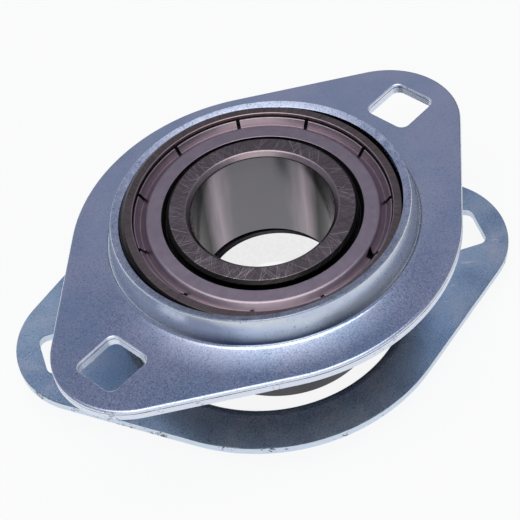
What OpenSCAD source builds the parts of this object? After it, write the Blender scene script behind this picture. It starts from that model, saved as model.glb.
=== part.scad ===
// Two-bolt pressed-steel flange unit for a one-inch shaft: two like stampings and a self-aligning
// ball insert with an eccentric locking collar. The halves are loose: the insert sits in the front
// half and stands on its collar, and the rear half lies round the collar.
// Millimetres. The origin is the centre of the insert's sphere, +Z runs up the bore and +X along
// the front half's bolt line.

/* [Flange halves] */
// length of a half over its two lugs
flange_len = 94.6; // [90:0.2:104]
// width of a half across its middle
flange_w = 69.9; // [64:0.1:76]
// radius of each lug's end
lug_r = 14.55; // [11:0.05:18]
// thickness of the steel sheet
sheet_t = 2; // [1.5:0.1:3]
// height of a half from its mating face to the top of its lip
flange_h = 7.9; // [6.5:0.1:8.5]
// thickness of the drawn wall round the seat
wall_t = 1.55; // [1:0.05:2]
// fillet between the plate and the outside of the wall
foot_fillet = 1; // [0.4:0.1:2]
// rounding of the seat's mouth at the mating face
mouth_round = 1.5; // [0.5:0.1:2]
// edge break inside the lip
lip_break = 0.28; // [0.1:0.02:0.5]
// how much lower the lip's cut end is inside than outside
lip_slant = 0.35; // [0.1:0.05:0.6]
// flat left on top of the lip, outside its slant
lip_land = 0.15; // [0.05:0.05:0.4]
// side of each square bolt hole
hole_side = 9.1; // [7:0.1:11]
// corner radius of each square bolt hole
hole_corner = 1.2; // [0.5:0.1:2]
// steel left between each square bolt hole and the end of its lug
hole_margin = 4.75; // [3:0.05:6]
// radial play between the seat and the outer ring
seat_clearance = 0.1; // [0.05:0.01:0.3]

/* [Lie of the halves] */
// lean of the front half on the insert's sphere, in degrees
front_lean = 4.25; // [0:0.25:5]
// turn of the rear half against the front one, in degrees
rear_turn = -30; // [-90:1:90]
// where the rear half lies beside the bore axis, along X
rear_x = -0.8; // [-3:0.1:3]
// where the rear half lies beside the bore axis, along Y
rear_y = 1; // [-3:0.1:3]

/* [Rings] */
// width of the outer ring
ring_w = 15; // [14:0.5:17]
// shaft bore
bore_d = 25.4; // [22:0.1:27]
// wall of the inner ring between the bore and its race
inner_wall = 2.8; // [2:0.1:4]
// wall of the outer ring between its race and its sphere
outer_wall = 2.48; // [1.8:0.01:4]
// length of the inner ring
inner_len = 21.5; // [20:0.5:24]
// how far the inner ring's shoulder runs past the outer ring on the collar side
shoulder_tail = 0.6; // [0.2:0.1:1]
// chamfer on the outer ring's edges
ring_chamfer = 0.6; // [0.2:0.1:1]
// chamfer on the inner ring's outer edge
inner_chamfer = 0.6; // [0.2:0.1:1]
// chamfer at each end of the bore
bore_chamfer = 0.8; // [0.3:0.1:1.2]

/* [Balls and cage] */
// ball diameter
ball_d = 7.938; // [7:0.001:8.5]
// number of balls, one node each
ball_count = 9; // [9:1:9]
// radial play between a ball and each race
ball_play = 0.041; // [0.02:0.001:0.1]
// how much wider than the ball a race's groove is, in radius
groove_extra = 0.16; // [0.1:0.01:0.3]
// depth of each race
race_depth = 1.37; // [1:0.01:1.8]
// thickness of the cage's strip
cage_t = 0.6; // [0.4:0.05:0.8]
// radial width of the cage's strip
cage_w = 3.2; // [2.4:0.1:3.6]
// play between a ball and its pocket
pocket_play = 0.1; // [0.05:0.01:0.2]
// rivet shank diameter
rivet_d = 1.1; // [0.8:0.1:1.4]
// rivet head diameter
rivet_head_d = 2.1; // [1.8:0.1:2.4]
// rivet head height
rivet_head_h = 0.55; // [0.3:0.05:0.8]

/* [Shields and seals] */
// thickness of a shield's sheet
shield_t = 0.5; // [0.3:0.05:0.6]
// how far a shield's web lies inside the outer ring's face
shield_inset = 0.85; // [0.7:0.05:1.2]
// gap between a shield's web and the inner ring
shield_gap = 0.86; // [0.6:0.02:1.2]
// ledge between the outer ring's shoulder and the mouth that takes the shield
shield_ledge = 0.75; // [0.1:0.05:0.9]
// edge break where the outer ring's face meets that mouth
ring_break = 0.15; // [0.1:0.05:0.3]
// depth of the groove that holds a shield's tongue
shield_groove = 0.4; // [0.2:0.05:0.6]
// play of the shield in its mouth and groove
shield_play = 0.05; // [0.02:0.01:0.1]
// gap between a shield's rim and the mouth
rim_gap = 0.14; // [0.1:0.02:0.3]
// flat on top of the rim
rim_land = 0.3; // [0.1:0.05:0.5]
// radial run of the slope inside the rim
rim_run = 0.8; // [0.4:0.05:1]
// how far the rim's top stands above the web
rim_rise = 0.1; // [-0.2:0.05:0.3]
// radial run of the slope outside the web
step_run = 1.2; // [0.8:0.05:1.4]
// depth of the valley between the two slopes, below the web
valley_d = 1.15; // [0.9:0.05:1.3]
// number of crimp slits in the rim
slit_count = 11; // [6:1:16]
// width of a crimp slit
slit_w = 0.55; // [0.3:0.05:0.8]
// bearing of the first crimp slit, in degrees
slit_turn = 21; // [0:1:60]
// thickness of the rubber under a shield
seal_t = 0.7; // [0.4:0.05:0.9]
// radial width of the rubber bonded to a shield
seal_w = 1.5; // [1:0.1:1.8]
// running gap between a seal's lip and the inner ring
lip_gap = 0.08; // [0.05:0.01:0.1]
// how far a seal's lip hangs below its body
lip_drop = 0.35; // [0.2:0.05:0.5]

/* [Locking collar] */
// wall of the collar round its recess, beside the throw
collar_wall = 3.32; // [2.5:0.01:5]
// length of the collar
collar_len = 13.5; // [12.5:0.5:15]
// gap between the inner ring's shoulder and the collar
collar_gap = 1.9; // [0.5:0.1:3]
// wall of the inner ring's eccentric cam, beside the throw
cam_wall = 2.9; // [2:0.1:3.4]
// throw of the cam and of the collar's recess
cam_throw = 0.8; // [0.4:0.05:0.9]
// bearing of the cam's throw, in degrees
cam_angle = 9; // [-180:1:180]
// how far the collar is turned on the cam, in degrees
collar_turn = 67; // [-180:1:180]
// radial play between the cam and the recess
cam_play = 0.08; // [0.03:0.01:0.1]
// gap between the inner ring's end and the recess's floor
recess_gap = 0.3; // [0.1:0.1:0.8]
// how much wider than the inner ring's bore the collar's bore is, in radius
collar_ease = 0.05; // [0.02:0.01:0.2]
// chamfer on the collar's outer edges
collar_chamfer = 0.55; // [0.2:0.05:1]
// chamfer at the collar's bore
collar_bore_chamfer = 0.4; // [0.2:0.05:0.6]
// set screw diameter
screw_d = 6; // [4:0.5:7]
// how far the set screw's end lies below the collar's outside
screw_sink = 0.35; // [0.1:0.05:1]
// how far the set screw's point stands back from the collar's bore
screw_setback = 0.2; // [0.1:0.05:1]
// radial play of the set screw in its hole
screw_play = 0.05; // [0.02:0.01:0.1]
// width across flats of the set screw's socket
socket_af = 3; // [2:0.5:4]
// depth of the set screw's socket
socket_depth = 2.6; // [1.5:0.1:3]
// diameter of the set screw's cup point
point_d = 3.4; // [2:0.1:4]
// height of the set screw's cone and the depth of its cup
point_h = 1; // [0.5:0.1:1.2]
// bearing of the set screw on the collar, in degrees from the recess's throw
screw_angle = 90; // [0:5:180]
// diameter of the blind hole that takes a drift pin
drift_d = 5; // [4:0.5:6]
// depth of the drift-pin hole
drift_depth = 4; // [2:0.5:4.5]
// bearing of the drift-pin hole on the collar, in degrees from the recess's throw
drift_angle = -60; // [-180:5:0]

/* [Hidden] */
$fn = 96;
cut_over = 1;
arc_bite = 0.02;

plate_r = flange_w / 2;
lug_x = flange_len / 2 - lug_r;
hole_x = flange_len / 2 - hole_margin - hole_side / 2;
tangent_angle = acos((plate_r - lug_r) / lug_x);
bore_r = bore_d / 2;
ball_r = ball_d / 2;
pitch_r = bore_r + inner_wall + ball_play + ball_r;
ring_r = pitch_r + ball_r + ball_play + outer_wall;
seat_r = ring_r + seat_clearance;
dome_r = seat_r + wall_t;
foot_z = sheet_t + foot_fillet;
foot_x = sqrt(pow(dome_r + foot_fillet - arc_bite, 2) - pow(foot_z, 2));

face_z = ring_w / 2;
tail_z = face_z - inner_len;
collar_top = -face_z - shoulder_tail - collar_gap;
collar_low = collar_top - collar_len;
recess_z = tail_z - recess_gap;
rear_z = collar_low + flange_h;
screw_z = (collar_low + recess_z) / 2;

groove_r = ball_r + groove_extra;
outer_shoulder_r = pitch_r + ball_r - race_depth;
inner_shoulder_r = pitch_r - ball_r + race_depth;
outer_groove_x = pitch_r + ball_r + ball_play - groove_r;
inner_groove_x = pitch_r - ball_r - ball_play + groove_r;
ring_edge_r = sqrt(pow(ring_r, 2) - pow(face_z, 2));

pocket_r = ball_r + pocket_play;
ball_step = 360 / ball_count;
rivet_dome_r = (pow(rivet_head_d / 2, 2) + pow(rivet_head_h, 2)) / (2 * rivet_head_h);

mouth_r = outer_shoulder_r + shield_ledge;
web_z = face_z - shield_inset;
web_r = inner_shoulder_r + shield_gap;
rim_r = mouth_r - rim_gap;
crest_r = rim_r - rim_land;
valley_r = crest_r - rim_run;
rim_z = web_z + rim_rise;
valley_z = web_z - valley_d;
step_angle = atan2(valley_d, step_run);
bend_r = valley_r - step_run - shield_t * tan(step_angle / 2);
tongue_z = valley_z - shield_t;
slit_z = valley_z - shield_t / 2;
tongue_r = mouth_r + shield_groove - shield_play;
seal_z = web_z - shield_t - seal_t;
seal_r = web_r + seal_w;

cam_r = bore_r + cam_wall;
cam_x = cam_throw * cos(cam_angle);
cam_y = cam_throw * sin(cam_angle);
collar_bore_r = bore_r + collar_ease;
recess_r = cam_r + cam_play;
collar_r = recess_r + collar_wall;
screw_r = screw_d / 2;
screw_x = collar_bore_r + screw_setback;
screw_len = collar_r - screw_sink - screw_x;

zinc = [0.70, 0.74, 0.84];
zinc_dull = [0.42, 0.50, 0.60];
ground_steel = [0.42, 0.37, 0.37];
bright_steel = [0.78, 0.77, 0.78];
shield_grey = [0.43, 0.39, 0.45];
rubber_black = [0.04, 0.04, 0.04];
black_oxide = [0.16, 0.16, 0.17];

// Middle disc, two lugs and the tangents between them.
module plate_outline() {
    c = cos(tangent_angle);
    s = sin(tangent_angle);
    circle(plate_r);
    for (side = [0, 1]) mirror([side, 0]) {
        translate([lug_x, 0]) circle(lug_r);
        polygon([
            [0, 0],
            [plate_r * c, -plate_r * s],
            [lug_x + lug_r * c, -lug_r * s],
            [lug_x + lug_r * c, lug_r * s],
            [plate_r * c, plate_r * s]
        ]);
    }
}

module square_hole() {
    inner = hole_side - 2 * hole_corner;
    square([hole_side, inner], center = true);
    square([inner, hole_side], center = true);
    for (x = [-inner / 2, inner / 2], y = [-inner / 2, inner / 2]) translate([x, y]) circle(hole_corner);
}

// Half section of the drawn wall with the plate's inner band, before the seat is taken out.
module wall_section() {
    square([foot_x, sheet_t]);
    intersection() {
        circle(dome_r);
        square([dome_r, flange_h]);
    }
    difference() {
        polygon([[0, 0], [foot_x, 0], [foot_x, foot_z]]);
        translate([foot_x, foot_z]) circle(foot_fillet);
    }
}

// Half section of what the seat takes out: the sphere, its rounded mouth and the lip's slanted end.
module seat_section() {
    mouth_x = sqrt(pow(seat_r + mouth_round - arc_bite, 2) - pow(mouth_round, 2));
    lip_z = flange_h - lip_slant;
    lip_r = sqrt(pow(seat_r, 2) - pow(lip_z, 2));
    lip_top_r = sqrt(pow(dome_r, 2) - pow(flange_h, 2)) - lip_land;
    intersection() {
        circle(seat_r);
        translate([0, -cut_over]) square([seat_r, flange_h + 2 * cut_over]);
    }
    difference() {
        polygon([[0, 0], [0, -cut_over], [mouth_x, -cut_over], [mouth_x, mouth_round]]);
        translate([mouth_x, mouth_round]) circle(mouth_round);
    }
    polygon([
        [0, lip_z - lip_break],
        [lip_r, lip_z - lip_break],
        [lip_r + lip_break, lip_z],
        [lip_top_r, flange_h],
        [lip_top_r, flange_h + cut_over],
        [0, flange_h + cut_over]
    ]);
}

// One stamping: its mating face on z = 0 and its collar up.
module flange_half() {
    linear_extrude(sheet_t) difference() {
        plate_outline();
        circle(foot_x);
        for (side = [-1, 1]) translate([side * hole_x, 0]) square_hole();
    }
    rotate_extrude() difference() {
        wall_section();
        seat_section();
    }
}

module front_flange() color(zinc) rotate([-front_lean, 0, 0]) flange_half();

module rear_flange()
    color(zinc_dull) translate([rear_x, rear_y, rear_z]) rotate([180, 0, rear_turn]) flange_half();

module outer_ring_section() {
    chamfer_x = ring_edge_r - ring_chamfer;
    run = face_z - ring_chamfer;
    difference() {
        intersection() {
            circle(ring_r);
            polygon([
                [outer_shoulder_r, -face_z],
                [chamfer_x, -face_z],
                [chamfer_x + run, -face_z + run],
                [chamfer_x + run, face_z - run],
                [chamfer_x, face_z],
                [outer_shoulder_r, face_z]
            ]);
        }
        translate([outer_groove_x, 0]) circle(groove_r);
        for (side = [0, 1]) mirror([0, side]) {
            translate([0, tongue_z - shield_play]) square([mouth_r, face_z]);
            translate([0, tongue_z - shield_play])
                square([mouth_r + shield_groove, shield_t + 2 * shield_play]);
            polygon([
                [0, face_z - ring_break],
                [mouth_r, face_z - ring_break],
                [mouth_r + ring_break + cut_over, face_z + cut_over],
                [0, face_z + cut_over]
            ]);
        }
    }
}

module outer_ring() color(ground_steel) rotate_extrude() outer_ring_section();

module inner_ring_section() {
    difference() {
        polygon([
            [0, face_z],
            [inner_shoulder_r - inner_chamfer, face_z],
            [inner_shoulder_r, face_z - inner_chamfer],
            [inner_shoulder_r, -face_z - shoulder_tail],
            [0, -face_z - shoulder_tail]
        ]);
        translate([inner_groove_x, 0]) circle(groove_r);
    }
}

// Half section of a bore between two heights, with a chamfer at each end.
module bore_section(r, low, high, chamfer) {
    polygon([
        [0, low - cut_over],
        [r + chamfer + cut_over, low - cut_over],
        [r, low + chamfer],
        [r, high - chamfer],
        [r + chamfer + cut_over, high + cut_over],
        [0, high + cut_over]
    ]);
}

module inner_ring() {
    color(ground_steel) difference() {
        union() {
            rotate_extrude() inner_ring_section();
            translate([cam_x, cam_y, tail_z]) cylinder(r = cam_r, h = -face_z - tail_z);
        }
        rotate_extrude() bore_section(bore_r, tail_z, face_z, bore_chamfer);
    }
}

module at_ball(k) rotate([0, 0, k * ball_step]) translate([pitch_r, 0, 0]) children();

module ball(k) color(bright_steel) at_ball(k) sphere(ball_r);

module ball_1() ball(0);
module ball_2() ball(1);
module ball_3() ball(2);
module ball_4() ball(3);
module ball_5() ball(4);
module ball_6() ball(5);
module ball_7() ball(6);
module ball_8() ball(7);
module ball_9() ball(8);

// One pressed strip, above the balls' plane: flats for the rivets and a cupped pocket per ball.
module cage_half() {
    difference() {
        intersection() {
            union() {
                cylinder(r = pitch_r + cage_w, h = cage_t);
                for (k = [0 : ball_count - 1]) at_ball(k) sphere(pocket_r + cage_t);
            }
            rotate_extrude() translate([pitch_r - cage_w / 2, 0]) square([cage_w, 2 * pocket_r]);
        }
        for (k = [0 : ball_count - 1]) {
            at_ball(k) sphere(pocket_r);
            at_ball(k + 0.5) cylinder(d = rivet_d, h = 2 * (cage_t + cut_over), center = true);
        }
    }
}

module cage_front() color(bright_steel) cage_half();

module cage_rear() color(bright_steel) mirror([0, 0, 1]) cage_half();

module rivet_section() {
    translate([0, -cage_t]) square([rivet_d / 2, 2 * cage_t]);
    for (side = [0, 1]) mirror([0, side]) intersection() {
        translate([0, cage_t + rivet_head_h - rivet_dome_r]) circle(rivet_dome_r);
        translate([0, cage_t]) square([rivet_head_d, rivet_head_h]);
    }
}

module cage_rivets() {
    color(bright_steel)
        for (k = [0 : ball_count - 1]) at_ball(k + 0.5) rotate_extrude() rivet_section();
}

// Half section of a shield: the flat web, its chamfered bend, and the valley, rim and tongue outside it.
module shield_section() {
    under_z = web_z - shield_t;
    polygon([
        [bend_r, under_z],
        [web_r, under_z],
        [web_r, web_z],
        [bend_r, web_z],
        [bend_r + shield_t * sin(step_angle), under_z + shield_t * cos(step_angle)],
        [valley_r, valley_z],
        [crest_r, rim_z],
        [rim_r, rim_z],
        [rim_r, valley_z],
        [tongue_r, valley_z],
        [tongue_r, tongue_z],
        [bend_r + (under_z - tongue_z) / tan(step_angle), tongue_z]
    ]);
}

module shield() {
    difference() {
        rotate_extrude() shield_section();
        for (k = [0 : slit_count - 1]) rotate([0, 0, slit_turn + k * 360 / slit_count])
            translate([valley_r - shield_t / 2, -slit_w / 2, slit_z])
                cube([mouth_r - valley_r + shield_t / 2, slit_w, face_z - slit_z]);
    }
}

module front_shield() color(shield_grey) shield();

module rear_shield() color(shield_grey) mirror([0, 0, 1]) shield();

module seal_section() {
    tip_r = inner_shoulder_r + lip_gap;
    polygon([
        [tip_r, seal_z - lip_drop],
        [seal_r, seal_z],
        [seal_r, seal_z + seal_t],
        [web_r, seal_z + seal_t],
        [tip_r + lip_drop / 2, seal_z - lip_drop]
    ]);
}

module front_seal() color(rubber_black) rotate_extrude() seal_section();

module rear_seal() color(rubber_black) mirror([0, 0, 1]) rotate_extrude() seal_section();

// Puts what is drawn round the collar's own bore where the collar sits on the cam.
module on_cam() {
    translate([cam_x, cam_y, 0]) rotate([0, 0, cam_angle + collar_turn])
        translate([-cam_throw, 0, 0]) children();
}

module collar_section() {
    polygon([
        [0, collar_low],
        [collar_r - collar_chamfer, collar_low],
        [collar_r, collar_low + collar_chamfer],
        [collar_r, collar_top - collar_chamfer],
        [collar_r - collar_chamfer, collar_top],
        [0, collar_top]
    ]);
}

// Turns +Z outwards at the screw's height and at a bearing on the collar.
module radially(bearing) rotate([0, 0, bearing]) translate([0, 0, screw_z]) rotate([0, 90, 0]) children();

module locking_collar() {
    color(black_oxide) on_cam() difference() {
        rotate_extrude() collar_section();
        rotate_extrude() bore_section(collar_bore_r, collar_low, recess_z, collar_bore_chamfer);
        translate([cam_throw, 0, recess_z]) cylinder(r = recess_r, h = collar_len);
        radially(screw_angle) cylinder(r = screw_r + screw_play, h = collar_r + cut_over);
        radially(drift_angle) translate([0, 0, collar_r - drift_depth])
            cylinder(d = drift_d, h = drift_depth + cut_over);
    }
}

module screw_section() {
    polygon([
        [0, point_h],
        [point_d / 2, 0],
        [screw_r, point_h],
        [screw_r, screw_len],
        [0, screw_len]
    ]);
}

module set_screw() {
    color(black_oxide) on_cam() radially(screw_angle)
        translate([0, 0, screw_x]) difference() {
            rotate_extrude() screw_section();
            translate([0, 0, screw_len - socket_depth])
                cylinder(d = socket_af / cos(30), h = socket_depth + cut_over, $fn = 6);
        }
}

front_flange();
rear_flange();
outer_ring();
inner_ring();
ball_1();
ball_2();
ball_3();
ball_4();
ball_5();
ball_6();
ball_7();
ball_8();
ball_9();
cage_front();
cage_rear();
cage_rivets();
front_shield();
rear_shield();
front_seal();
rear_seal();
locking_collar();
set_screw();
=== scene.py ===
import math

import bpy
from mathutils import Matrix, Vector


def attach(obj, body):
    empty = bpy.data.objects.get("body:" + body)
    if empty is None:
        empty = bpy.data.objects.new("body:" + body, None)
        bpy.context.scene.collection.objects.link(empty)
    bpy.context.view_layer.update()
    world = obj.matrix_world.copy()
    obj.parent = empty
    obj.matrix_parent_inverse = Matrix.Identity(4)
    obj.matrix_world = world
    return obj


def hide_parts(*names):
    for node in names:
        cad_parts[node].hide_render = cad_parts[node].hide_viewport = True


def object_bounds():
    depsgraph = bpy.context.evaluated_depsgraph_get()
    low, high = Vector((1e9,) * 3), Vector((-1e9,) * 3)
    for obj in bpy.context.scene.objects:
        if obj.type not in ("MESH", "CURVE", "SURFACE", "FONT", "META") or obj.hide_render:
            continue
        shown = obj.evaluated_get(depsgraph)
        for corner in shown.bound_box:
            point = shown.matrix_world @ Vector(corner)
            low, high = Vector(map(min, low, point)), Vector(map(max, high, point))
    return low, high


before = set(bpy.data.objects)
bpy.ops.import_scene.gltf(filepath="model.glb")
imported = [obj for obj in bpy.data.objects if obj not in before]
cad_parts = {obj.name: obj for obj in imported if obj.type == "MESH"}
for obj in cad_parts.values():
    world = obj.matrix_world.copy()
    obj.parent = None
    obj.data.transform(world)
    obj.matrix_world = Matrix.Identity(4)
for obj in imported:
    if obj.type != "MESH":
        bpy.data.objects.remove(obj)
cadLow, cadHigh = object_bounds()
scene = bpy.context.scene
mm = 0.001
perMetre = 1000.0
print("frame: loaded", len(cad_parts), "nodes")


# Shader wiring: a wire is a socket that takes part in sums, and other nodes come from Nodes.node.
class Wire:
    def __init__(self, nodes, socket):
        self.nodes = nodes
        self.socket = socket

    def maths(self, operation, first, second=0.0, clamp=False):
        settings = {"operation": operation, "use_clamp": clamp}
        return self.nodes.node("Math", settings, {0: first, 1: second})

    def __add__(self, other):
        return self.maths("ADD", self, other)

    def __radd__(self, other):
        return self.maths("ADD", other, self)

    def __sub__(self, other):
        return self.maths("SUBTRACT", self, other)

    def __mul__(self, other):
        return self.maths("MULTIPLY", self, other)

    def __truediv__(self, other):
        return self.maths("DIVIDE", self, other)


class Nodes:
    def __init__(self, tree):
        self.tree = tree

    def feed(self, socket, value):
        if isinstance(value, Wire):
            self.tree.links.new(value.socket, socket)
        elif hasattr(value, "__len__") and len(value) == 3 and socket.type == "RGBA":
            socket.default_value = (*value, 1.0)
        else:
            socket.default_value = value

    def node(self, kind, settings=None, inputs=None, output=0):
        made = self.tree.nodes.new("ShaderNode" + kind)
        for key, value in (settings or {}).items():
            if key == "stops":
                ramp = made.color_ramp.elements
                while len(ramp) < len(value):
                    ramp.new(0.5)
                for stop, (place, shade) in zip(ramp, value):
                    stop.position = place
                    stop.color = (*shade, 1.0) if hasattr(shade, "__len__") else (shade, shade, shade, 1.0)
            else:
                setattr(made, key, value)
        for key, value in (inputs or {}).items():
            self.feed(made.inputs[key], value)
        return Wire(self, made.outputs[output])

    def mix(self, share, first, second):  # colours only
        return self.node("Mix", {"data_type": "RGBA"}, {0: share, 6: first, 7: second}, 2)

    def ramp(self, value, *stops):
        return self.node("ValToRGB", {"stops": stops}, {0: value})

    def split(self, vector):
        return [self.node("SeparateXYZ", None, {0: vector}, k) for k in range(3)]

    def join(self, x, y, z):
        return self.node("CombineXYZ", None, {0: x, 1: y, 2: z})

    def noise(self, vector, scale, detail, rough):
        inputs = {"Vector": vector, "Scale": scale, "Detail": detail, "Roughness": rough}
        return self.node("TexNoise", {"noise_dimensions": "3D"}, inputs)

    def along(self, vector, direction):  # distance along a direction
        return self.node("VectorMath", {"operation": "DOT_PRODUCT"}, {0: vector, 1: direction}, 1)


class Finish(Nodes):
    def __init__(self, name, metallic=1.0):
        self.material = bpy.data.materials.new(name)
        self.material.use_nodes = True
        super().__init__(self.material.node_tree)
        self.shader = self.tree.nodes["Principled BSDF"]
        self.shader.inputs["Metallic"].default_value = metallic
        self.place = self.node("TexCoord", None, None, 3)  # Object coordinates

    def done(self, colour, roughness, height=None, depth=0.0, strength=1.0):
        self.feed(self.shader.inputs["Base Color"], colour)
        self.feed(self.shader.inputs["Roughness"], roughness)
        if height is not None:
            inputs = {"Strength": strength, "Distance": depth * mm, "Height": height}
            self.feed(self.shader.inputs["Normal"], self.node("Bump", None, inputs))
        return self.material


def tint(code):  # a written colour as linear light
    parts = [int(code[k:k + 2], 16) / 255 for k in (1, 3, 5)]
    return tuple(p / 12.92 if p <= 0.04045 else ((p + 0.055) / 1.055) ** 2.4 for p in parts)


# Modelling helpers
def alone(piece):
    bpy.ops.object.select_all(action="DESELECT")
    piece.select_set(True)
    bpy.context.view_layer.objects.active = piece


def arc(x, z, radius, start, end, steps):  # points of an arc, angles in degrees
    angles = [math.radians(start + (end - start) * k / steps) for k in range(steps + 1)]
    return [(x + radius * math.cos(a), z + radius * math.sin(a)) for a in angles]


def softCorners(corners, steps=4):  # (x, z) or (x, z, radius) turned into a line with rounded corners
    line = []
    for k, corner in enumerate(corners):
        here = Vector(corner[:2])
        radius = corner[2] if len(corner) > 2 else 0.0
        if radius == 0.0:
            line.append(tuple(here))
            continue
        before = (Vector(corners[k - 1][:2]) - here).normalized()
        after = (Vector(corners[(k + 1) % len(corners)][:2]) - here).normalized()
        half = before.angle(after) / 2
        reach = radius / math.tan(half)
        middle = here + (before + after).normalized() * (radius / math.sin(half))
        first = here + before * reach - middle
        last = here + after * reach - middle
        sweep = first.angle_signed(last)
        for step in range(steps + 1):
            turn = Matrix.Rotation(-sweep * step / steps, 2)
            line.append(tuple(middle + turn @ first))
    return line


def spun(name, section, steps, centre=(0.0, 0.0)):
    bpy.ops.object.select_all(action="DESELECT")
    bpy.ops.mesh.primitive_circle_add(vertices=len(section), radius=mm)
    piece = bpy.context.object
    piece.name = name
    for vertex, (r, z) in zip(piece.data.vertices, section):
        vertex.co = ((centre[0] + r) * mm, centre[1] * mm, z * mm)
    bpy.ops.object.mode_set(mode="EDIT")
    bpy.ops.mesh.select_all(action="SELECT")
    axisFoot = (centre[0] * mm, centre[1] * mm, 0.0)
    bpy.ops.mesh.spin(steps=steps, angle=2 * math.pi, center=axisFoot, axis=(0.0, 0.0, 1.0))
    bpy.ops.mesh.select_all(action="SELECT")
    bpy.ops.mesh.remove_doubles(threshold=1e-7)
    bpy.ops.mesh.normals_make_consistent(inside=False)
    bpy.ops.object.mode_set(mode="OBJECT")
    return piece


def fromAxis(point):  # distance from the bore axis
    return math.hypot(point.x, point.y)


def shift(piece, test, move):  # slides the vertices that pass a test
    for vertex in piece.data.vertices:
        if test(vertex.co / mm):
            vertex.co += Vector(move) * mm


def cutAway(piece, cutter):
    alone(piece)
    cut = piece.modifiers.new("cut", "BOOLEAN")
    cut.operation = "DIFFERENCE"
    cut.solver = "EXACT"
    cut.material_mode = "TRANSFER"
    cut.object = cutter
    bpy.ops.object.modifier_apply(modifier=cut.name)
    bpy.data.objects.remove(cutter)


def dress(piece, material):
    piece.data.materials.append(material)


def paintFaces(piece, test, material):  # gives the faces that pass a test their own finish
    dress(piece, material)
    for face in piece.data.polygons:
        if test(face.center / mm, face.normal):
            face.material_index = len(piece.data.materials) - 1


def settle(piece, node, body, sharp=32.0):
    alone(piece)
    bpy.ops.object.shade_smooth_by_angle(angle=math.radians(sharp))
    even = piece.modifiers.new("even", "WEIGHTED_NORMAL")
    even.keep_sharp = True
    bpy.ops.object.modifier_apply(modifier=even.name)
    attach(piece, body)
    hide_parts(node)
    print("piece:", piece.name, len(piece.data.polygons), "faces")


# Camera, floor and light
view = {"eye": (-128.97, -140.49, 223.12), "aim": (-4.90, -3.17, 0.0), "roll": -7.4, "lens": 114.2,
        "sensor": 36.0, "near": 0.01}
room = {
    "floorHalf": 6.0, "glow": 0.9, "floor": tint("#f8f8f8"), "skyAxis": (-0.093, 0.103, 0.990),
    "sky": ((0.0, (0.06, 0.065, 0.08)), (0.25, (0.15, 0.16, 0.19)), (0.5, (0.30, 0.315, 0.39)),
            (0.68, (0.28, 0.297, 0.39)), (0.77, (0.15, 0.175, 0.26)), (0.81, (0.23, 0.255, 0.35)),
            (0.86, (0.45, 0.48, 0.59)), (0.90, (0.74, 0.77, 0.88)), (0.94, (0.93, 0.95, 1.03))),
}
lamps = {
    "overhead": {"place": (-80, -90, 620), "size": (600, 500), "power": 1.1},
    "front": {"place": (-455, -480, 410), "size": (700, 600), "power": 1.0},
}


def makeCamera():
    lens = bpy.data.cameras.new("camera")
    camera = bpy.data.objects.new("camera", lens)
    scene.collection.objects.link(camera)
    lens.lens = view["lens"]
    lens.sensor_width = view["sensor"]
    lens.clip_start = view["near"]
    eye = Vector(view["eye"]) * mm
    look = (Vector(view["aim"]) * mm - eye).to_track_quat("-Z", "Y").to_matrix().to_4x4()
    camera.matrix_world = Matrix.Translation(eye) @ look @ Matrix.Rotation(math.radians(view["roll"]), 4, "Z")
    scene.camera = camera


def makeFloor():
    bpy.ops.object.select_all(action="DESELECT")
    bpy.ops.mesh.primitive_plane_add(size=2 * room["floorHalf"], location=(0.0, 0.0, cadLow.z))
    floor = bpy.context.object
    floor.name = "floor"
    material = bpy.data.materials.new("paleFloor")
    material.use_nodes = True
    nodes = Nodes(material.node_tree)
    paths = nodes.tree.nodes.new("ShaderNodeLightPath")
    seen = [Wire(nodes, paths.outputs[name])
            for name in ("Is Camera Ray", "Is Glossy Ray", "Is Transmission Ray")]
    share = seen[0].maths("MINIMUM", seen[0] + seen[1] + seen[2], 1.0) * room["glow"]
    plain = nodes.node("BsdfDiffuse", None, {"Color": room["floor"]})
    white = nodes.node("Emission", None, {"Color": (1.0, 1.0, 1.0), "Strength": 1.0})
    blend = nodes.node("MixShader", None, {0: share, 1: plain, 2: white})
    output = nodes.tree.nodes["Material Output"]
    nodes.feed(output.inputs["Surface"], blend)
    dress(floor, material)


def makeLight():
    world = bpy.data.worlds.new("softRoom")
    scene.world = world
    world.use_nodes = True
    nodes = Nodes(world.node_tree)
    height = nodes.along(nodes.node("TexCoord", None, None, 0), room["skyAxis"])
    nodes.feed(nodes.tree.nodes["Background"].inputs["Color"], nodes.ramp(height, *room["sky"]))
    for name, lamp in lamps.items():
        light = bpy.data.lights.new(name, "AREA")
        light.shape = "RECTANGLE"
        light.size, light.size_y = (s * mm for s in lamp["size"])
        light.energy = lamp["power"]
        box = bpy.data.objects.new(name, light)
        scene.collection.objects.link(box)
        place = Vector(lamp["place"]) * mm
        box.matrix_world = Matrix.Translation(place) @ (-place).to_track_quat("-Z", "Y").to_matrix().to_4x4()


makeCamera()
makeFloor()
makeLight()
scene.view_settings.view_transform = "Standard"
print("stage: camera, floor and light set")


# Finishes
grainAndPaintedLightSide = (0.67, 0.74, 0.0)  # from the coarse-grained side of the part to the fine one; it also sets which side gets the painted shade at the wall's foot and the painted reflection bands in the bore
grainFade = 55.0  # the plate's grain fades over this distance
wallAway = 28.0  # the drawn wall's radius
lean = math.radians(4.25)  # the front half leans about X
leanNormal = (0.0, math.sin(lean), math.cos(lean))


def polar(finish):  # distance from the bore axis, bearing and height, in mm
    x, y, z = finish.split(finish.place)
    radius = x.maths("SQRT", x * x + y * y) * perMetre
    return radius, x.maths("ARCTAN2", y, x), z * perMetre


def roundGrain(finish, fine, skew, length=0.16):  # grinding lines that run out from the axis
    radius, bearing = polar(finish)[:2]
    turned = bearing + radius * skew
    x = turned.maths("COSINE", turned) * fine
    y = turned.maths("SINE", turned) * fine
    return finish.noise(finish.join(x, y, radius * length), 1.0, 2.0, 0.6)


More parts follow.
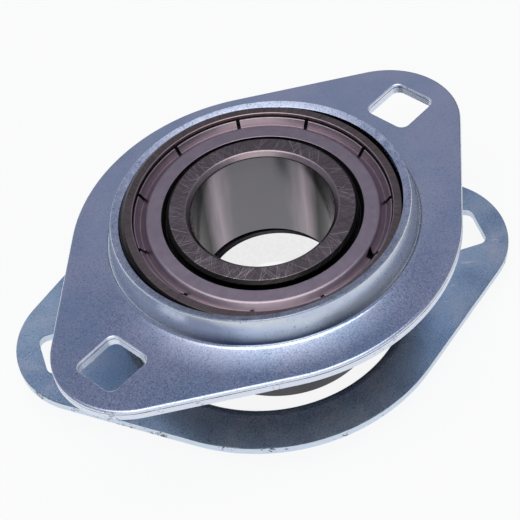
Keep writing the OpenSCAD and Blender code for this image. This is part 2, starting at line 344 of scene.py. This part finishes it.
def zincPlate(name, light, dark, pit, haze, coarse, gloss, metallic=1.0):
    finish = Finish(name, metallic)
    cloud = finish.noise(finish.place, 75.0, 4.0, 0.6)
    speck = finish.noise(finish.place, 4800.0, 2.0, 0.6)
    spots = finish.noise(finish.place, 2700.0, 2.0, 0.6)
    patch = finish.noise(finish.place, 110.0, 3.0, 0.6)
    side = finish.along(finish.place, grainAndPaintedLightSide) * (-0.5 / (grainFade * mm)) + patch
    side = side.maths("MULTIPLY", side, coarse, True)
    body = finish.mix(finish.ramp(cloud, (0.38, 0.0), (0.62, 1.0)), dark, light)
    grain = speck * 0.6 + spots * 0.4
    body = finish.mix(finish.ramp(grain, (0.36, 1.0), (0.5, 0.0)) * side, body, pit)
    body = finish.mix(finish.ramp(grain, (0.54, 0.0), (0.66, 0.8)) * side, body, tint("#f1f3fb"))
    veil = finish.noise(finish.place, 140.0, 5.0, 0.65)
    body = finish.mix(finish.ramp(veil, (0.51, 0.0), (0.74, haze)), body, tint("#d5dae6"))
    x, y, z = finish.split(finish.place)
    scuff = finish.noise(finish.join(x * 0.7 + y * 0.7, (y - x) * 0.08, z), 1300.0, 3.0, 0.7)
    marks = finish.ramp(scuff + (veil - 0.5) * 0.5, (0.66, 0.0), (0.76, haze))
    body = finish.mix(marks, body, tint("#e9edf4"))
    rough = (spots - 0.5) * 0.2 + (cloud - 0.5) * 0.1 + gloss
    return finish.done(body, rough, grain, 0.012, 0.35)


def cutEdge(name, colour, smear, up, seam):  # a broken dark line runs round the edge at one height
    finish = Finish(name, metallic=0.6)
    patch = finish.noise(finish.place, 210.0, 4.0, 0.7)
    fleck = finish.noise(finish.place, 1500.0, 3.0, 0.7)
    stain = finish.ramp(patch + (fleck - 0.5) * 0.5, (0.60, 0.0), (0.68, smear))
    body = finish.mix(stain, colour, tint("#3c434f"))
    above = finish.along(finish.place, up) * perMetre - seam
    gap = above.maths("ABSOLUTE", above) + (patch - 0.5) * 0.25
    body = finish.mix(finish.ramp(gap, (0.06, 0.9), (0.1, 0.0)), body, tint("#3a3740"))
    return finish.done(body, (fleck - 0.5) * 0.2 + 0.34, fleck, 0.01, 0.3)


def lipCut(name, colour, pit):
    finish = Finish(name)
    fleck = finish.noise(finish.place, 3300.0, 2.0, 0.7)
    broad = finish.noise(finish.place, 700.0, 3.0, 0.6)
    tone = fleck * 0.7 + broad * 0.3
    body = finish.mix(finish.ramp(tone, (0.38, 0.8), (0.5, 0.0)), colour, pit)
    body = finish.mix(finish.ramp(tone, (0.56, 0.0), (0.66, 0.9)), body, tint("#f4f6fc"))
    return finish.done(body, 0.32 + (broad - 0.5) * 0.3, fleck, 0.03, 0.5)


def drawnWall(name, colour, pale, foot, normal):  # paler towards the lip, with painted shade darkening the foot, most on one side
    finish = Finish(name, metallic=0.7)
    x, y, z = finish.split(finish.place)
    rise = finish.along(finish.place, normal) * perMetre
    streak = finish.noise(finish.join(x, y, z * 0.12), 700.0, 3.0, 0.6)
    band = finish.noise(finish.join(x * 0.3, y * 0.3, z * 2.0), 160.0, 4.0, 0.6)
    pit = finish.noise(finish.place, 1500.0, 2.0, 0.7)
    body = finish.mix(finish.ramp(band, (0.45, 0.0), (0.66, 0.7)), colour, pale)
    # painted shade: the foot colour darkens the bottom of the wall, strongly on one side and faintly on the
    # other
    side = finish.along(finish.place, grainAndPaintedLightSide) * (-1.0 / (wallAway * mm))
    low = finish.ramp((rise + band) * 0.1, (0.36, 1.0), (0.60, 0.0))
    body = finish.mix(low * finish.ramp(side, (0.6, 0.1), (0.93, 1.0)), body, foot)
    body = finish.mix(finish.ramp(pit, (0.68, 0.0), (0.74, 0.8)), body, tint("#3d4458"))
    return finish.done(body, 0.26 + (streak - 0.5) * 0.14, streak, 0.02, 0.3)


def groundFace(name, colour, scratchColour, skews, fine, amount, gloss):
    finish = Finish(name)
    lines = [roundGrain(finish, fine * (1.0 + 0.17 * k), skew) for k, skew in enumerate(skews)]
    top = lines[0]
    low = lines[0]
    for line in lines[1:]:
        top = top.maths("MAXIMUM", top, line)
        low = low.maths("MINIMUM", low, line)
    cloud = finish.noise(finish.place, 160.0, 3.0, 0.6)
    marks = finish.ramp(top + (cloud - 0.5) * 0.25, (0.62, 0.0), (0.74, amount))
    body = finish.mix(finish.ramp(low, (0.28, 0.6), (0.42, 0.0)), colour, tuple(c * 0.3 for c in colour))
    body = finish.mix(marks, body, scratchColour)
    return finish.done(body, gloss + (top - 0.5) * 0.25, top, 0.01, 0.35)


def satinBorePaintedReflection(name, colour, pale, dark, gloss):  # lengthwise bands of painted reflection, paler and darker round the bore by bearing, wobbled by honing streaks
    finish = Finish(name)
    radius, bearing, z = polar(finish)
    turned = finish.along(finish.place, grainAndPaintedLightSide) * perMetre / radius
    hone = finish.noise(finish.join(bearing * 6.0, z * 0.05, radius), 1.0, 3.0, 0.6)
    turned = turned + (hone - 0.5) * 0.15
    # painted reflection: the colour runs dark, pale and back round the bore, by bearing
    body = finish.ramp(turned, (0.0, colour), (0.3, dark), (0.6, dark), (0.78, pale), (0.92, colour))
    return finish.done(body, gloss + (hone - 0.5) * 0.1)


def pressedShield(name, colour, gloss):
    finish = Finish(name)
    mottle = finish.noise(finish.place, 700.0, 4.0, 0.65)
    fine = finish.noise(finish.place, 3200.0, 2.0, 0.7)
    body = finish.mix(finish.ramp(mottle, (0.3, 0.0), (0.7, 1.0)), tuple(c * 0.88 for c in colour), colour)
    return finish.done(body, gloss + (mottle - 0.5) * 0.14, fine, 0.01, 0.3)


def blackRubber(name):
    finish = Finish(name, metallic=0.0)
    grit = finish.noise(finish.place, 1400.0, 4.0, 0.7)
    wet = finish.noise(finish.place, 260.0, 3.0, 0.6)
    body = finish.mix(finish.ramp(grit, (0.6, 0.0), (0.75, 0.6)), (0.006, 0.006, 0.006), (0.05, 0.042, 0.038))
    return finish.done(body, finish.ramp(wet, (0.4, 0.28), (0.65, 0.6)), grit, 0.08, 0.5)


def blackOxide(name, colour):
    finish = Finish(name)
    cloud = finish.noise(finish.place, 130.0, 4.0, 0.6)
    fine = finish.noise(finish.place, 1900.0, 3.0, 0.65)
    body = finish.mix(finish.ramp(cloud, (0.35, 0.0), (0.7, 1.0)), tuple(c * 0.7 for c in colour), colour)
    return finish.done(body, 0.42 + (cloud - 0.5) * 0.2, fine, 0.02, 0.35)


def brightSteel(name, colour, gloss):
    finish = Finish(name)
    fine = finish.noise(finish.place, 1200.0, 3.0, 0.6)
    body = finish.mix(fine, tuple(c * 0.85 for c in colour), colour)
    return finish.done(body, gloss + (fine - 0.5) * 0.1, fine, 0.005, 0.2)


finishes = {
    "frontZinc": zincPlate("frontZinc", (0.69, 0.73, 0.86), (0.55, 0.66, 0.82), (0.28, 0.32, 0.47),
                           haze=0.12, coarse=1.0, gloss=0.19),
    "rearZinc": zincPlate("rearZinc", (0.55, 0.71, 0.86), (0.37, 0.50, 0.66), (0.14, 0.19, 0.28),
                          haze=1.0, coarse=0.8, gloss=0.3, metallic=0.85),
    "frontEdge": cutEdge("frontEdge", tint("#e9f0fc"), smear=0.5, up=leanNormal, seam=1.4),
    "rearEdge": cutEdge("rearEdge", tint("#d8e7f6"), smear=0.95, up=(0.0, 0.0, 1.0), seam=-15.68),
    "frontLip": lipCut("frontLip", (0.66, 0.72, 0.86), (0.28, 0.33, 0.48)),
    # the third colour of each wall is the painted shade at its foot
    "wall": drawnWall("wall", (0.60, 0.67, 0.80), (0.83, 0.85, 0.80), (0.05, 0.075, 0.14), leanNormal),
    "rearWall": drawnWall("rearWall", (0.40, 0.48, 0.60), (0.62, 0.67, 0.70), (0.16, 0.20, 0.28),
                          (0.0, 0.0, -1.0)),
    "ringFace": groundFace("ringFace", (0.19, 0.148, 0.14), (0.46, 0.37, 0.35), (0.0, 0.03),
                           fine=110.0, amount=0.4, gloss=0.34),
    "innerFace": groundFace("innerFace", (0.22, 0.172, 0.17), (0.80, 0.68, 0.66), (0.05, -0.05, 0.015),
                            fine=110.0, amount=1.0, gloss=0.3),
    # painted highlight: a lighter copy of the ring steel for the outer ring's rounded mouth edge
    "paintedEdgeHighlight": pressedShield("paintedEdgeHighlight", (0.58, 0.47, 0.48), 0.32),
    # painted highlight: a lighter copy of the ring steel for the inner ring's bore chamfer
    "paintedBoreEdgeHighlight": pressedShield("paintedBoreEdgeHighlight", (0.42, 0.34, 0.34), 0.28),
    # the bore's pale and dark colours are painted reflection
    "bore": satinBorePaintedReflection("bore", (0.17, 0.165, 0.18), (0.34, 0.29, 0.33), (0.015, 0.015, 0.016), 0.2),
    "shield": pressedShield("shield", (0.47, 0.378, 0.41), 0.34),
    # the rubber finish also darkens the cut walls of the shield's slits and nick: painted shade
    "rubber": blackRubber("rubber"),
    # nearly black ground steel: painted shade on the outer ring's chamfers; the inner ring's shoulder by the
    # seal gets it too
    "oilAndPaintedShade": groundFace("oilAndPaintedShade", (0.035, 0.032, 0.03), (0.25, 0.21, 0.19), (0.2,),
                       fine=60.0, amount=0.6, gloss=0.28),
    "oxide": blackOxide("oxide", tint("#5c5c60")),
    "collarBore": brightSteel("collarBore", (0.97, 0.97, 0.97), 0.16),
    "ball": brightSteel("ball", tint("#e0e0e2"), 0.12),
    "cage": brightSteel("cage", tint("#c9c7c4"), 0.3),
}
print("finishes:", len(finishes))


# Flange halves: a spun section whose rim is drawn out to the lugged outline
stamping = {
    "sheet": 2.0, "height": 7.9, "seat": 26.1, "dome": 27.65, "fillet": 1.1, "mouth": 2.4,
    "flatFrom": 34.05, "dishRise": 0.5, "rimLand": 0.65, "dieRoll": 0.5, "burr": 0.08, "nominalRim": 40.0,
    "middle": 34.94, "lugAway": 32.75, "lug": 14.535, "lipSlant": 0.35, "lipBreak": 0.28, "lipLand": 0.15,
    "hole": 9.1, "holeCorner": 1.6, "holeAway": 38.0, "holeRoll": 0.34, "rollTurn": 80.0, "rollMeets": 76.0,
    "breakMiddle": (0.45, 0.07), "lipCorner": (0.05, 0.02), "domeGap": 0.1, "dishSteps": 12,
    "rollDepth": 0.8, "edgeMiddle": 0.8, "cutterHigh": 12.0, "steps": 288,
    "rearAt": (-0.8, 1.0, -15.6), "rearTurn": -30.0,
}


def outlineReach(bearing, inset):  # from the centre to the outline, by bearing
    s = stamping
    middle, lug, away = s["middle"] - inset, s["lug"] - inset, s["lugAway"]
    tangent = math.acos((middle - lug) / away)
    a = abs(math.remainder(bearing, math.pi))
    lugEnd = math.atan2(lug * math.sin(tangent), away + lug * math.cos(tangent))
    if a >= tangent:
        return middle
    if a >= lugEnd:
        return middle / math.cos(a - tangent)
    return away * math.cos(a) + math.sqrt(lug * lug - (away * math.sin(a)) ** 2)


def stampingSection():
    s = stamping
    lipLow = s["height"] - s["lipSlant"]
    lipIn = math.sqrt(s["seat"] ** 2 - lipLow ** 2)
    lipOut = math.sqrt(s["dome"] ** 2 - s["height"] ** 2)
    footHigh = s["sheet"] + s["dishRise"] + s["fillet"]
    footAway = math.sqrt((s["dome"] + s["fillet"]) ** 2 - footHigh ** 2)
    tilt = math.degrees(math.atan(2 * s["dishRise"] / (s["flatFrom"] - footAway)))
    footStart = 180 + math.degrees(math.atan2(footHigh, footAway))
    mouthAway = math.sqrt((s["seat"] + s["mouth"]) ** 2 - s["mouth"] ** 2)
    mouthEnd = 180 + math.degrees(math.atan2(s["mouth"], mouthAway))
    seatLow = math.degrees(math.atan2(s["mouth"], mouthAway))
    seatHigh = math.degrees(math.asin((lipLow - s["lipBreak"]) / s["seat"]))
    domeHigh = math.degrees(math.asin((s["height"] - s["domeGap"]) / s["dome"]))
    line = arc(0, 0, s["seat"], seatLow, seatHigh, 14)
    breakShare, breakDrop = s["breakMiddle"]
    cornerIn, cornerDrop = s["lipCorner"]
    line += [(lipIn + s["lipBreak"] * breakShare, lipLow - breakDrop), (lipIn + s["lipBreak"], lipLow)]
    line += [(lipOut - s["lipLand"], s["height"]), (lipOut - cornerIn, s["height"] - cornerDrop)]
    line += arc(0, 0, s["dome"], domeHigh, footStart - 180, 14)
    line += arc(footAway, footHigh, s["fillet"], footStart, 270 - tilt, 7)[1:]
    start = line[-1]
    for k in range(1, s["dishSteps"] + 1):
        share = k / s["dishSteps"]
        rise = (start[1] - s["sheet"]) * (1 - share) ** 2
        line.append((start[0] + (s["flatFrom"] - start[0]) * share, s["sheet"] + rise))
    rim, roll, burr = s["nominalRim"], s["dieRoll"], s["burr"]
    land = rim - s["rimLand"]
    deep = roll * s["rollDepth"]
    line += [(land, s["sheet"])]
    line += [(rim - roll + roll * math.sin(a), s["sheet"] - deep + deep * math.cos(a))
             for a in (math.radians(15 * k) for k in range(7))]
    line += [(rim, s["edgeMiddle"]), (rim, burr * 2), (rim - burr, 0.0), (land, 0.0), (s["flatFrom"], 0.0)]
    line += arc(mouthAway, s["mouth"], s["mouth"], 270, mouthEnd, 8)[:-1]
    return line


def holeCutter(side):  # rounded square with a rolled upper edge
    s = stamping
    bpy.ops.object.select_all(action="DESELECT")
    bpy.ops.mesh.primitive_cube_add(size=1.0, location=(side * s["holeAway"] * mm, 0.0, 0.0))
    cutter = bpy.context.object
    cutter.scale = (s["hole"] * mm, s["hole"] * mm, s["cutterHigh"] * mm)
    bpy.ops.object.transform_apply(location=True, rotation=True, scale=True)
    bpy.ops.object.mode_set(mode="EDIT")
    bpy.ops.mesh.select_mode(type="EDGE")
    bpy.ops.mesh.select_all(action="DESELECT")
    bpy.ops.object.mode_set(mode="OBJECT")
    for edge in cutter.data.edges:
        ends = [cutter.data.vertices[v].co for v in edge.vertices]
        edge.select = abs(ends[0].z - ends[1].z) > mm
    bpy.ops.object.mode_set(mode="EDIT")
    bpy.ops.mesh.bevel(offset=s["holeCorner"] * mm, segments=8, affect="EDGES")
    rollTo = math.radians(s["rollTurn"])  # the roll leaves the plate's face at a slight angle
    rollLow = s["sheet"] - s["holeRoll"] * math.sin(math.radians(s["rollMeets"]))
    for k in range(6):
        level = rollLow + s["holeRoll"] * math.sin(rollTo * k / 5)
        bpy.ops.mesh.select_all(action="SELECT")
        bpy.ops.mesh.bisect(plane_co=(0.0, 0.0, level * mm), plane_no=(0.0, 0.0, 1.0))
    bpy.ops.object.mode_set(mode="OBJECT")
    for vertex in cutter.data.vertices:
        high = min(max((vertex.co.z / mm - rollLow) / s["holeRoll"], 0.0), math.sin(rollTo))
        spread = s["holeRoll"] * (1 - math.sqrt(1 - high * high))
        x, y = vertex.co.x - side * s["holeAway"] * mm, vertex.co.y
        vertex.co.x += math.copysign(min(spread, abs(x) / mm * 0.1) * mm, x)
        vertex.co.y += math.copysign(min(spread, abs(y) / mm * 0.1) * mm, y)
    return cutter


def makeStamping(name, place, node, plate, edge, lip, wall):
    s = stamping
    rimFrom = s["flatFrom"] + 0.05
    piece = spun(name, stampingSection(), s["steps"])
    for vertex in piece.data.vertices:
        r = fromAxis(vertex.co)
        if r > rimFrom * mm:
            bearing = math.atan2(vertex.co.y, vertex.co.x)
            grow = outlineReach(bearing, s["nominalRim"] - r / mm) * mm / r
            vertex.co.x *= grow
            vertex.co.y *= grow
    dress(piece, plate)
    paintFaces(piece, lambda c, n: fromAxis(c) > rimFrom and abs(n.z) < 0.8, edge)
    paintFaces(piece, lambda c, n: c.z > s["height"] - s["lipSlant"] - s["lipBreak"] and n.z > 0.6, lip)
    lowWall = s["sheet"] + s["dishRise"]
    paintFaces(piece, lambda c, n: c.z > lowWall and n.x * c.x + n.y * c.y > 0 and n.z < 0.6, wall)
    for side in (-1, 1):
        cutter = holeCutter(side)
        dress(cutter, edge)
        cutAway(piece, cutter)
    piece.data.transform(place)
    settle(piece, node, node)


frontPlace = Matrix.Rotation(-lean, 4, "X")
rearPlace = (Matrix.Translation(Vector(stamping["rearAt"]) * mm)
             @ Matrix.Rotation(math.radians(stamping["rearTurn"]), 4, "Z") @ Matrix.Rotation(math.pi, 4, "X"))
makeStamping("frontStamping", frontPlace, "front_flange", finishes["frontZinc"], finishes["frontEdge"],
             finishes["frontLip"], finishes["wall"])
makeStamping("rearStamping", rearPlace, "rear_flange", finishes["rearZinc"], finishes["rearEdge"],
             finishes["frontLip"], finishes["rearWall"])


# Rings
rings = {
    "sphere": 26.0, "face": 7.5, "ringChamfer": 0.6, "outerShoulder": 22.109, "mouth": 22.859,
    "groove": 23.259, "grooveLow": 4.95, "grooveHigh": 5.55, "race": 4.129, "outerRace": 19.391,
    "innerRace": 19.629, "innerShoulder": 16.911, "innerChamfer": 0.6, "tail": -8.1, "end": -14.0,
    "bore": 12.7, "boreChamfer": 0.8, "cam": 15.6, "camThrow": (0.790, 0.125),
    "soft": 0.12, "mouthSoft": 0.15, "boreSoft": 0.5, "faceSoft": 0.15, "tailSoft": 0.2, "camSoft": 0.25,
    "steps": 224,
}


def makeOuterRing():
    s = rings
    raceEdge = math.degrees(math.acos((s["outerShoulder"] - s["outerRace"]) / s["race"]))
    shoulderEnd = s["race"] * math.sin(math.radians(raceEdge))
    face, chamfer, soft = s["face"], s["ringChamfer"], s["soft"]
    edge = math.sqrt(s["sphere"] ** 2 - face ** 2) - chamfer
    a, b = edge + face, s["sphere"] ** 2
    top = (a - math.sqrt(2 * b - a * a)) / 2  # height where the chamfer meets the sphere
    shell = arc(0, 0, s["sphere"], math.degrees(math.asin(top / s["sphere"])),
                -math.degrees(math.asin(top / s["sphere"])), 28)
    upper = [(s["mouth"], s["grooveHigh"]), (s["mouth"], face, s["mouthSoft"]), (edge, face, soft)]
    lower = [(edge, -face, soft), (s["mouth"], -face, s["mouthSoft"]), (s["mouth"], -s["grooveHigh"]),
             (s["groove"], -s["grooveHigh"]), (s["groove"], -s["grooveLow"]),
             (s["outerShoulder"], -s["grooveLow"]), (s["outerShoulder"], -shoulderEnd)]
    race = arc(s["outerRace"], 0, s["race"], -raceEdge, raceEdge, 20)[1:-1]
    last = [(s["outerShoulder"], shoulderEnd), (s["outerShoulder"], s["grooveLow"]),
            (s["groove"], s["grooveLow"]), (s["groove"], s["grooveHigh"])]
    piece = spun("outerRace", softCorners(upper + shell + lower + race + last), s["steps"])
    dress(piece, finishes["ringFace"])
    brim = s["mouthSoft"] + 0.01
    # painted shade: the outer ring's chamfers are made nearly black all round
    paintFaces(piece, lambda c, n: fromAxis(c) > edge + 0.02 and abs(c.z) > top, finishes["oilAndPaintedShade"])
    # painted highlight: the rounded mouth edge gets a lighter copy of the ring steel
    paintFaces(piece, lambda c, n: fromAxis(c) < s["mouth"] + brim and abs(c.z) > face - brim,
               finishes["paintedEdgeHighlight"])
    settle(piece, "outer_ring", "outer_ring")


def makeInnerRing():
    s = rings
    raceEdge = math.degrees(math.acos((s["innerRace"] - s["innerShoulder"]) / s["race"]))
    shoulderEnd = s["race"] * math.sin(math.radians(raceEdge))
    face, bore, cut = s["face"], s["bore"], s["boreChamfer"]
    shoulder, chamfer = s["innerShoulder"], s["innerChamfer"]
    corners = [(bore, face - cut, s["boreSoft"]), (bore + cut, face, s["boreSoft"]),
               (shoulder - chamfer, face, s["faceSoft"]), (shoulder, face - chamfer, s["faceSoft"]),
               (shoulder, shoulderEnd)]
    corners += arc(s["innerRace"], 0, s["race"], 180 - raceEdge, 180 + raceEdge, 20)[1:-1]
    corners += [(shoulder, -shoulderEnd), (shoulder, s["tail"], s["tailSoft"]), (s["cam"], s["tail"]),
                (s["cam"], s["end"], s["camSoft"]), (bore + cut, s["end"], s["tailSoft"]),
                (bore, s["end"] + cut, s["tailSoft"])]
    piece = spun("innerRace", softCorners(corners), s["steps"])
    camFrom = s["cam"] - 0.4
    shift(piece, lambda v: v.z < s["tail"] + 0.01 and camFrom < fromAxis(v) < s["cam"] + 0.01,
          (*s["camThrow"], 0.0))
    dress(piece, finishes["innerFace"])
    rimFrom = shoulder - chamfer + 0.1
    # the inner ring's shoulder next to the seal is made nearly black
    paintFaces(piece, lambda c, n: fromAxis(c) > rimFrom and c.z > shoulderEnd, finishes["oilAndPaintedShade"])
    paintFaces(piece, lambda c, n: fromAxis(c) < bore + 0.05, finishes["bore"])
    # painted highlight: the bore chamfer gets a lighter copy of the ring steel
    paintFaces(piece, lambda c, n: fromAxis(c) < bore + cut + 0.1 and 0.1 < n.z < 0.97, finishes["paintedBoreEdgeHighlight"])
    settle(piece, "inner_ring", "inner_ring")


makeOuterRing()
makeInnerRing()


# Shields and seals, modelled for the front and mirrored for the rear
closure = {
    "web": 17.771, "top": 6.65, "sheet": 0.5, "webEnd": 20.419, "valley": (21.619, 5.5),
    "crest": (22.419, 6.75), "rim": 22.719, "tongue": 23.209, "underBend": 21.419,
    "bend": 0.8, "soft": 0.12, "crestSoft": 0.2, "rimSoft": 0.14,
    "slits": 11, "slit": 0.7, "slitFirst": 21.0, "slitLow": 5.25, "slitFrom": 21.369, "slitTo": 22.859,
    "slitHigh": 2.0, "notchOver": 1.0, "steps": 240, "sealSteps": 192,
    "notch": ((20.6, -74.3), (21.0, -80.6), (22.4, -78.6)), "notchLow": 4.9,
    "sealTip": 16.991, "sealTipOut": 17.166, "sealLow": 5.45, "sealDrop": 0.35, "sealOut": 19.271,
}


def mirrored(piece):
    alone(piece)
    bpy.ops.object.mode_set(mode="EDIT")
    bpy.ops.mesh.select_all(action="SELECT")
    bpy.ops.transform.resize(value=(1.0, 1.0, -1.0), center_override=(0.0, 0.0, 0.0))
    bpy.ops.mesh.normals_make_consistent(inside=False)
    bpy.ops.object.mode_set(mode="OBJECT")


def notchCutter():  # the three-cornered nick beside one slit
    s = closure
    bpy.ops.object.select_all(action="DESELECT")
    bpy.ops.mesh.primitive_cylinder_add(vertices=3, radius=mm, depth=2 * mm, location=(0.0, 0.0, 0.0))
    cutter = bpy.context.object
    corners = [(r * mm, math.radians(bearing)) for r, bearing in s["notch"]]
    upright = sorted(cutter.data.vertices, key=lambda v: (round(math.atan2(v.co.y, v.co.x), 3), v.co.z))
    for k, vertex in enumerate(upright):
        away, bearing = corners[k // 2]
        height = s["notchLow"] if k % 2 == 0 else s["top"] + s["notchOver"]
        vertex.co = (away * math.cos(bearing), away * math.sin(bearing), height * mm)
    bpy.ops.object.mode_set(mode="EDIT")
    bpy.ops.mesh.select_all(action="SELECT")
    bpy.ops.mesh.normals_make_consistent(inside=False)
    bpy.ops.object.mode_set(mode="OBJECT")
    # the nick's cut walls take the black rubber finish: painted shade
    dress(cutter, finishes["rubber"])
    return cutter


def makeShield(name, node, rear):
    s = closure
    floor = s["valley"][1]
    under = s["top"] - s["sheet"]
    low = floor - s["sheet"]
    bendFoot = s["underBend"] - (under - low) * (s["valley"][0] - s["webEnd"]) / (s["top"] - floor)
    corners = [(s["web"], under), (s["web"], s["top"], s["soft"]), (s["webEnd"], s["top"], s["bend"]),
               (*s["valley"], s["soft"]), (*s["crest"], s["crestSoft"]),
               (s["rim"], s["crest"][1], s["rimSoft"]), (s["rim"], floor), (s["tongue"], floor),
               (s["tongue"], low), (s["underBend"], low), (bendFoot, under)]
    piece = spun(name, softCorners(corners, 6), s["steps"])
    dress(piece, finishes["shield"])
    bpy.ops.object.select_all(action="DESELECT")
    length = s["slitTo"] - s["slitFrom"]
    bpy.ops.mesh.primitive_cube_add(size=1.0)
    cutter = bpy.context.object
    cutter.scale = (length * mm, s["slit"] * mm, s["slitHigh"] * mm)
    cutter.location = ((s["slitFrom"] + length / 2) * mm, 0.0, (s["slitLow"] + s["slitHigh"] / 2) * mm)
    bpy.ops.object.transform_apply(location=True, rotation=True, scale=True)
    bpy.ops.object.mode_set(mode="EDIT")
    turn = 2 * math.pi / s["slits"]
    first = math.radians(s["slitFirst"])
    middle = (0.0, 0.0, 0.0)
    bpy.ops.mesh.select_all(action="SELECT")
    bpy.ops.transform.rotate(value=-first, orient_axis="Z", center_override=middle)
    for k in range(s["slits"] - 1):
        bpy.ops.mesh.duplicate()
        bpy.ops.transform.rotate(value=-turn, orient_axis="Z", center_override=middle)
    bpy.ops.object.mode_set(mode="OBJECT")
    # the slits' cut walls take the black rubber finish: painted shade
    dress(cutter, finishes["rubber"])
    cutAway(piece, cutter)
    if rear:
        mirrored(piece)
    else:
        cutAway(piece, notchCutter())
    settle(piece, node, "outer_ring")


def makeSeal(name, node, rear):
    s = closure
    under = s["top"] - s["sheet"]
    tip = s["sealLow"] - s["sealDrop"]
    corners = [(s["sealTip"], tip), (s["sealOut"], s["sealLow"]), (s["sealOut"], under), (s["web"], under),
               (s["sealTipOut"], tip)]
    piece = spun(name, corners, s["sealSteps"])
    dress(piece, finishes["rubber"])
    if rear:
        mirrored(piece)
    settle(piece, node, "outer_ring")


for side, rear in (("front", False), ("rear", True)):
    makeShield(side + "Closure", side + "_shield", rear)
    makeSeal(side + "Lip", side + "_seal", rear)


# Locking collar and its screw
collar = {
    "outside": 19.0, "low": -23.5, "high": -10.0, "chamfer": 0.55, "bore": 12.75, "boreChamfer": 0.4,
    "recess": 15.68, "recessReach": 0.3, "floor": -14.3, "centre": (0.597, -0.651),
    "recessThrow": (0.193, 0.776), "holeHeight": -18.9, "drillFrom": 6.0, "sinkWide": 0.5, "sinkDeep": 0.7,
    "driftWide": 0.3, "driftBreak": (0.5, 0.1), "clear": 2.0,
    "screwBearing": 166.0, "screwHole": 3.05, "driftBearing": 16.0, "drift": 2.5, "driftDepth": 4.0,
    "screw": 3.0, "screwFrom": 12.95, "screwTo": 18.65, "point": 1.7, "pointRise": 1.0, "pitch": 0.8,
    "pointShare": 0.8, "thread": 0.42, "threadStop": 0.4, "crest": (0.45, 0.6), "crestDrop": 0.02,
    "neck": 0.35, "socket": 3.0, "socketDepth": 2.6, "soft": 0.12, "boreSoft": 0.1, "recessSoft": 0.15,
    "steps": 224, "drillSteps": 48, "screwSteps": 64,
}


def radialPlace(bearing):  # turns +Z outwards from the collar's axis
    s = collar
    foot = Vector((*s["centre"], s["holeHeight"])) * mm
    return (Matrix.Translation(foot) @ Matrix.Rotation(math.radians(bearing), 4, "Z")
            @ Matrix.Rotation(math.radians(90), 4, "Y"))


def makeCollar():
    s = collar
    cut, boreSoft = s["boreChamfer"], s["boreSoft"]
    outside, chamfer, soft = s["outside"], s["chamfer"], s["soft"]
    corners = [(s["bore"], s["low"] + cut, boreSoft), (s["bore"] + cut, s["low"], boreSoft),
               (outside - chamfer, s["low"], soft), (outside, s["low"] + chamfer, soft),
               (outside, s["high"] - chamfer, soft), (outside - chamfer, s["high"], soft),
               (s["recess"], s["high"], s["recessSoft"]), (s["recess"], s["floor"]),
               (s["bore"] + cut, s["floor"], boreSoft), (s["bore"], s["floor"] - cut, boreSoft)]
    piece = spun("eccentricCollar", softCorners(corners), s["steps"], s["centre"])
    x, y = s["centre"]
    wall, reach = s["recess"], s["recessReach"]
    shift(piece, lambda v: v.z > s["floor"] - 0.01 and abs(math.hypot(v.x - x, v.y - y) - wall) < reach,
          (*s["recessThrow"], 0.0))
    dress(piece, finishes["oxide"])
    paintFaces(piece, lambda c, n: c.z < s["floor"] and math.hypot(c.x - x, c.y - y) < s["bore"] + 0.15,
               finishes["collarBore"])
    past = outside + s["clear"]
    hole, start, sink = s["screwHole"], s["drillFrom"], s["screwHole"] + s["sinkWide"]
    drill = [(0.0, start), (hole, start), (hole, outside - s["sinkDeep"]), (sink, outside), (sink, past),
             (0.0, past)]
    pin, deep, wide = s["drift"], outside - s["driftDepth"], s["drift"] + s["driftWide"]
    breakLow, breakHigh = (outside - b for b in s["driftBreak"])
    blind = [(0.0, deep), (pin, deep), (pin, breakLow), (wide, breakHigh), (wide, past), (0.0, past)]
    for bearing, section in ((s["screwBearing"], drill), (s["driftBearing"], blind)):
        cutter = spun("cutter", section, s["drillSteps"])
        cutter.data.transform(radialPlace(bearing))
        dress(cutter, finishes["oxide"])
        cutAway(piece, cutter)
    settle(piece, "locking_collar", "locking_collar")


def makeScrew():
    s = collar
    low, high, r = s["screwFrom"], s["screwTo"], s["screw"]
    root, crest, rise, pitch = r - s["thread"], r - s["crestDrop"], s["pointRise"], s["pitch"]
    corners = [(0.0, low + rise), (s["point"], low), (root, low + rise * s["pointShare"])]
    turns = int((high - low - rise - s["threadStop"]) / pitch)
    for k in range(turns):
        z = low + rise + k * pitch
        corners += [(root, z)] + [(crest, z + pitch * share) for share in s["crest"]]
    corners += [(root, high - s["neck"]), (root, high), (0.0, high)]
    piece = spun("socketScrew", corners, s["screwSteps"])
    bpy.ops.object.select_all(action="DESELECT")
    bpy.ops.mesh.primitive_cylinder_add(vertices=6, radius=s["socket"] / 2 / math.cos(math.radians(30)) * mm,
                                        depth=2 * s["socketDepth"] * mm, location=(0.0, 0.0, high * mm))
    key = bpy.context.object
    bpy.ops.object.transform_apply(location=True, rotation=True, scale=True)
    dress(piece, finishes["oxide"])
    dress(key, finishes["oxide"])
    cutAway(piece, key)
    piece.data.transform(radialPlace(s["screwBearing"]))
    settle(piece, "set_screw", "set_screw")


makeCollar()
makeScrew()

# Balls, cage and rivets keep their own meshes and get a finish
for name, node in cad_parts.items():
    if name.startswith(("ball_", "cage_")):
        node.data.materials.clear()
        dress(node, finishes["ball" if name.startswith("ball_") else "cage"])
print("inside: balls, cage and rivets finished")
